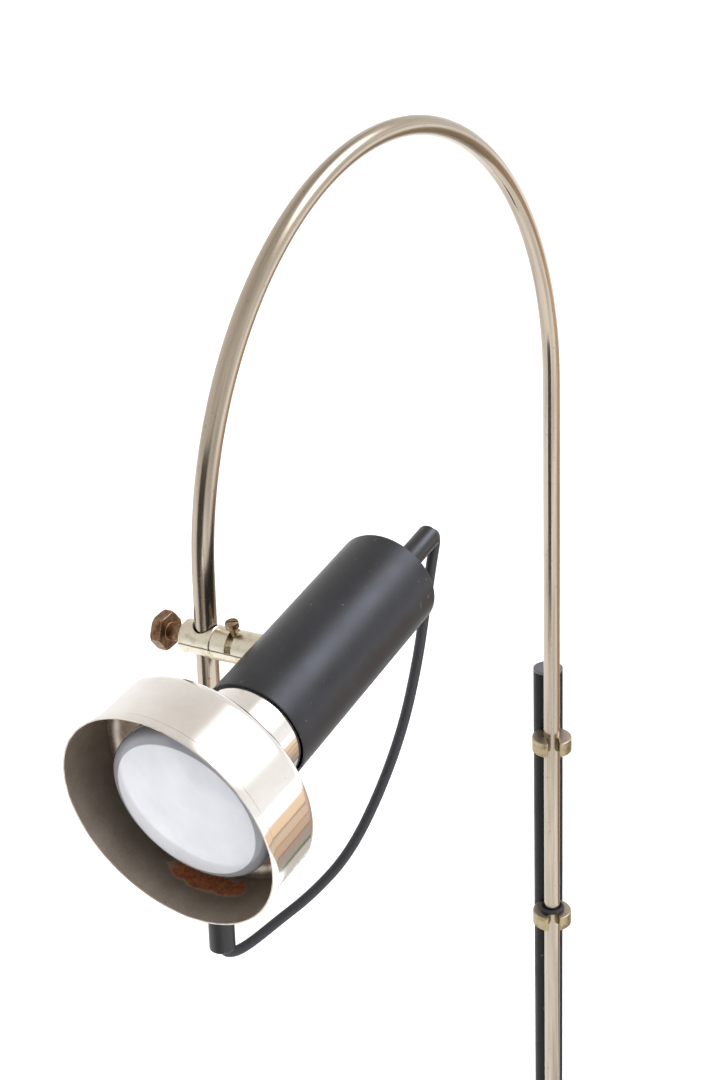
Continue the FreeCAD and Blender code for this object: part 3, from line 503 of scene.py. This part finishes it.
back_plating = metal_finish("dull_plating", "#D2C8BC", "#B3A89B", 7, (0.32, 0.48))
bead_line = metal_finish("tarnished_bead", "#8A6A50", "#6B4E3A", 3, (0.35, 0.5))
finished("spot_shade", shade_shape(), SHADE_POSE,
         [chrome_finish(), heated_plating_finish(), back_plating, bead_line], "head", "chrome", "shade")

# %% [markdown]
# ## The reflector bulb
#
# The bulb is a 95 mm reflector type: a shallow opal front, a tight turn at its widest place, and a
# back that tapers to the cap. A few turned rings and a subdivision surface give that soft blown
# shape better than a list of arcs. Its front is white inside a clear circle, and beyond it a grey
# band is painted on: a painted reflection of the shade's dark inside in the curved glass.

# %% Blow the bulb
BULB_OUTLINE = [
    (0, 130.8), (14, 130.2), (28, 128.5), (38, 126.4), (44, 124.6), (46.8, 122.6), (47.7, 119),
    (47.6, 113), (46, 106), (42, 96.5), (34, 84), (24, 73), (18.2, 66), (16.2, 60), (14, 55),
    (13.6, 44), (13, 28), (13, 26), (0, 26),
]


# where the painted reflection band begins, as a radius from the head's axis, and how soft its edge is
PAINTED_REFLECTION_EDGE, PAINTED_REFLECTION_BLUR = 0.0416, 0.0003


def opal_finish():
    """Opal glass, glossy and milky, with an outer grey band: painted reflection of the dark shade."""
    material, tree, shader = new_finish("opal_glass", IOR=1.5, Coat_Weight=0.2, Coat_Roughness=0.05)
    place = add(tree, "TexCoord").outputs["Object"]
    local = add(tree, "Mapping", {"Vector": place, "Location": HEAD_PLACE,
                                  "Rotation": HEAD_POSE.to_euler()}, vector_type="TEXTURE")
    split = add(tree, "SeparateXYZ", {0: local})
    across = add(tree, "CombineXYZ", {0: split.outputs[0], 1: split.outputs[1]})
    radius = add(tree, "VectorMath", {0: across}, operation="LENGTH").outputs["Value"]
    cloud = patches(tree, place, 30, 0.3, 0.7, 3.0)
    milk = blended(tree, cloud, "#D6D8DD", "#C9CBD1")
    # painted reflection: the glass outside this radius is grey, as the shade's dark inside seen in it
    ring = add(tree, "MapRange", {"Value": radius, "From Min": PAINTED_REFLECTION_EDGE - PAINTED_REFLECTION_BLUR,
                                 "From Max": PAINTED_REFLECTION_EDGE + PAINTED_REFLECTION_BLUR})
    band = blended(tree, cloud, "#8E9096", "#84868C")
    tree.links.new(blended(tree, ring, milk, band), shader.inputs["Base Color"])
    shine = add(tree, "MapRange", {"Value": cloud, "To Min": 0.10, "To Max": 0.16})
    tree.links.new(shine.outputs[0], shader.inputs["Roughness"])
    return material


bulb = finished("opal_bulb", lathe(BULB_OUTLINE, steps=64), HEAD_POSE, [opal_finish()], "head",
                "opal_glass", "bulb_glass", sharp=80)
rounding = bulb.modifiers.new("rounding", "SUBSURF")
rounding.levels = rounding.render_levels = 2

# %% [markdown]
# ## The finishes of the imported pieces
#
# The clamp, the sleeve, the clips, the base and the small parts inside already have their right
# shape. They only need the finish of the real piece. Each finish is made once and given to every
# piece that shares it.

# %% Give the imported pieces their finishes
CLAMP_PLACE = Vector(next(joint["pos_m"] for joint in frame["record"]["behaviour"]["joints"]
                          if joint["name"] == "head_swivel"))


def satin_nickel_finish():
    """Satin nickel on the clamp and the sleeve: creamy, with faint tarnish spots, rubbed bright
    edges, and a thin dark green line of verdigris along the side where the halves of the polishing
    wheel met."""
    material = metal_finish("satin_nickel", "#D8D0BE", "#BDB193", 5, (0.26, 0.42), edge="#EFE9DC",
                            spread=(0.5, 0.72), depth=0.015, soften=0.45)
    tree = material.node_tree
    shader = tree.nodes["Principled BSDF"]
    base = shader.inputs["Base Color"].links[0].from_socket
    place = add(tree, "TexCoord").outputs["Object"]
    local = add(tree, "Mapping", {"Vector": place, "Location": CLAMP_PLACE}, vector_type="TEXTURE")
    split = add(tree, "SeparateXYZ", {0: local})
    wander = add(tree, "TexNoise", {"Vector": place, "Scale": 160, "Detail": 3})
    height = add(tree, "Math", {0: wander, 1: 0.0006, 2: split.outputs[2]}, operation="MULTIPLY_ADD")
    below = add(tree, "MapRange", {"Value": height, "From Min": -0.0012, "From Max": -0.0006})
    above = add(tree, "MapRange", {"Value": height, "From Min": 0.0002, "From Max": -0.0004})
    front = add(tree, "MapRange", {"Value": split.outputs[0], "From Min": -0.007, "From Max": -0.008})
    line = add(tree, "Math", {0: below, 1: above}, operation="MULTIPLY")
    line = add(tree, "Math", {0: line, 1: front}, operation="MULTIPLY")
    tree.links.new(blended(tree, line, base, "#3F4A38"), shader.inputs["Base Color"])
    return material


def worn_clip_finish():
    """Nickel worn through to brass: yellow, and lighter and greyer on the faces that point up."""
    material = metal_finish("worn_nickel_over_brass", "#A8997A", "#857657", 6, (0.36, 0.52),
                            edge="#CDBFA2", soften=0.5)
    tree = material.node_tree
    shader = tree.nodes["Principled BSDF"]
    base = shader.inputs["Base Color"].links[0].from_socket
    # the faces that point up are made lighter and greyer
    facing = add(tree, "NewGeometry").outputs["True Normal"]
    up = add(tree, "SeparateXYZ", {0: facing}).outputs[2]
    top = add(tree, "MapRange", {"Value": up, "From Min": 0.5, "From Max": 0.9})
    tree.links.new(blended(tree, top, base, "#B3A594"), shader.inputs["Base Color"])
    return material


satin_nickel = satin_nickel_finish()
worn_clip = worn_clip_finish()
steel = metal_finish("zinc_plated_steel", "#C2C4C8", "#A3A49F", 9, (0.25, 0.4))
brass = metal_finish("drawn_brass", "#C9A45C", "#A98544", 8, (0.22, 0.36))
knob_brass = metal_finish("aged_brass", "#8E7056", "#5E4330", 4, (0.32, 0.5), edge="#D9BE96",
                          spread=(0.4, 0.62), depth=0.05, soften=0.7)
screw_nickel = metal_finish("worn_screw", "#9C866A", "#5A4636", 2, (0.3, 0.48), edge="#D3C2A4",
                            soften=0.3)
solder = metal_finish("soft_solder", "#B9BBBE", "#8D8F92", 2, (0.3, 0.5))
housing_black = black_finish("satin_black_paint", "#1F1F23", "#26272C", (0.36, 0.44), grain=0.35,
                             depth=0.012, soften=0.2, shine=0.36)
pole_black = black_finish("black_stoved_enamel", "#0D0D0E", "#131314", (0.36, 0.5), grain=0.8,
                          depth=0.02, soften=0.4, shine=0.14)
grey_cap = black_finish("grey_moulded_cap", "#565359", "#615E64", (0.4, 0.55), scuff="#A5A2A6")
cap_plastic = black_finish("black_moulded_plastic", "#111113", "#17171A", (0.34, 0.48), grain=0.6,
                           depth=0.02, soften=0.5)
phenolic = black_finish("brown_phenolic", "#2A1B14", "#33221A", (0.28, 0.4), scuff="#6B5344")
terminal = black_finish("ivory_terminal_plastic", "#D9D3C2", "#CFC8B5", (0.4, 0.5), scuff="#B5AE9A")
liner = black_finish("dark_nylon_liner", "#19181A", "#211F20", (0.4, 0.5))
lead_rubber = black_finish("matt_rubber_lead", "#26262A", "#303035", (0.5, 0.62), grain=1.1,
                           depth=0.05, scuff="#6B6966", scuffs=(0.72, 0.8))
stop_rubber = black_finish("black_rubber", "#1B1B1C", "#242425", (0.55, 0.7), grain=0.5)
felt = black_finish("grey_wool_felt", "#3A3A3C", "#47474A", (0.9, 0.98), grain=1.2, depth=0.5)

for tube in (head_flex, clamp_flex, leg_flex):
    tube.data.materials.clear()
    tube.data.materials.append(lead_rubber)

FINISHES = {
    "felt": felt, "black_paint": pole_black, "grey_cap": grey_cap, "steel": steel, "worn_nickel": worn_clip,
    "black_rubber": stop_rubber, "lead_rubber": lead_rubber, "black_plastic": cap_plastic,
    "liner_plastic": liner, "satin_nickel": satin_nickel, "screw_nickel": screw_nickel, "brass": brass,
    "satin_black": housing_black, "phenolic": phenolic, "terminal_plastic": terminal, "solder": solder,
    # the pieces of these three slots are rebuilt above, so their finish here never shows
    "nickel_tube": steel, "chrome": steel, "opal_glass": steel,
}
for name, node in frame["nodes"].items():
    finish = knob_brass if name == "clamp_knob" else FINISHES[node.data.materials[0].name]
    node.data.materials.clear()
    node.data.materials.append(finish)
print("finishes:", len(FINISHES))

# %% [markdown]
# ## Floor and light
#
# The lamp stands on a plain pale floor that runs out of sight. Even light comes from all round, a
# little dimmer overhead, as in a white studio. One large cool window to the right and above is a
# soft bright place in that sky, and it draws the long highlight on the black housing. Polished
# metal needs something dark to reflect or it looks like white plastic, so two tall dark cards stand
# off to the side, and coloured ones lie on the floor. They show only in reflections, as flags do in
# a studio.

# %% Lay the floor
floor_mesh = bmesh.new()
bmesh.ops.create_grid(floor_mesh, x_segments=1, y_segments=1, size=40)
floor_data = bpy.data.meshes.new("floor")
floor_mesh.to_mesh(floor_data)
floor_mesh.free()
floor = bpy.data.objects.new("floor", floor_data)
floor_data.materials.append(new_finish("lit_white_sweep", Base_Color=linear("#F7F7F7"), Roughness=0.9,
                                       Specular_IOR_Level=0.1, Emission_Color=linear("#FFFFFF"),
                                       Emission_Strength=0.3)[0])
bpy.context.collection.objects.link(floor)

# %% Light the studio
WINDOW_WAY = Vector((0.474, -0.505, 0.721)).normalized()
WINDOW_EDGE, WINDOW_FALL, WINDOW_STRENGTH = 0.84, 4.0, 11.0
SKY_STRENGTH = 1.06
world = bpy.data.worlds.new("studio")
world.use_nodes = True
bpy.context.scene.world = world
sky = world.node_tree
around = add(sky, "TexCoord").outputs["Generated"]
height = add(sky, "SeparateXYZ", {0: around}).outputs[2]
shade_of_sky = add(sky, "ValToRGB", {0: height}, stops=[
    (0.0, linear("#FFFFFF")), (0.25, linear("#FBFAF8")), (0.6, linear("#EDEAE6")),
    (1.0, linear("#DCD8D3"))])
toward = add(sky, "VectorMath", {0: around, 1: WINDOW_WAY}, operation="DOT_PRODUCT").outputs["Value"]
inside = add(sky, "MapRange", {"Value": toward, "From Min": WINDOW_EDGE, "From Max": 1.0})
glow = add(sky, "Math", {0: inside, 1: WINDOW_FALL}, operation="POWER")
strength = add(sky, "Math", {0: glow, 1: WINDOW_STRENGTH, 2: SKY_STRENGTH}, operation="MULTIPLY_ADD")
background = sky.nodes["Background"].inputs
sky.links.new(blended(sky, glow, shade_of_sky.outputs[0], "#DCE6FF"), background["Color"])
sky.links.new(strength.outputs[0], background["Strength"])


def card(name, centre, size, turn, colour):
    """A coloured card that only polished metal sees. Turn is in degrees: about X, then about Z."""
    sheet = bmesh.new()
    bmesh.ops.create_grid(sheet, x_segments=1, y_segments=1, size=0.5)
    sheet.transform(Matrix.Translation(centre) @ Matrix.Rotation(math.radians(turn[1]), 4, "Z")
                    @ Matrix.Rotation(math.radians(turn[0]), 4, "X") @ Matrix.Diagonal((*size, 1, 1)))
    data = bpy.data.meshes.new(name)
    sheet.to_mesh(data)
    sheet.free()
    data.materials.append(new_finish(name, Base_Color=linear(colour), Roughness=1.0)[0])
    panel = bpy.data.objects.new(name, data)
    panel.visible_camera = panel.visible_diffuse = panel.visible_shadow = False
    bpy.context.collection.objects.link(panel)


FLAG_FOOT = 0.35
FLAGS = (("grey_flag", 182, 1.5, 1.2, 1.35, "#4B4743"), ("dark_flag", 196, 1.4, 0.1, 1.35, "#2E2C29"))
for name, azimuth, distance, width, height, colour in FLAGS:
    way = Vector((math.cos(math.radians(azimuth)), math.sin(math.radians(azimuth)), 0))
    card(name, way * distance + Vector((0, 0, FLAG_FOOT + height / 2)), (width, height),
         (90, azimuth + 90), colour)
FLOOR_CARDS = (
    ("cream_card", -4.0, -2.3, "#E6CAA8"), ("brown_card", -2.3, -2.18, "#8A6A50"),
    ("linen_card", -2.18, -1.5, "#CDB79F"), ("orange_card", -1.5, -1.44, "#B8733C"),
    ("tan_card", -1.44, -1.0, "#BBA48C"), ("rust_card", -1.0, -0.94, "#A8642F"),
    ("stone_card", -0.94, -0.5, "#9C9186"), ("green_card", -0.5, -0.38, "#5E7350"),
    ("grey_card", -0.38, 0.1, "#B9B3AC"),
)
CARDS_MIDDLE, CARDS_HEIGHT, CARDS_LENGTH = 2.3, 0.02, 3.4
for name, near, far, colour in FLOOR_CARDS:
    card(name, (CARDS_MIDDLE, (near + far) / 2, CARDS_HEIGHT), (CARDS_LENGTH, far - near), (0, 0), colour)
bpy.context.scene.view_settings.view_transform = "Standard"
print("cards for reflections:", len(FLAGS) + len(FLOOR_CARDS))
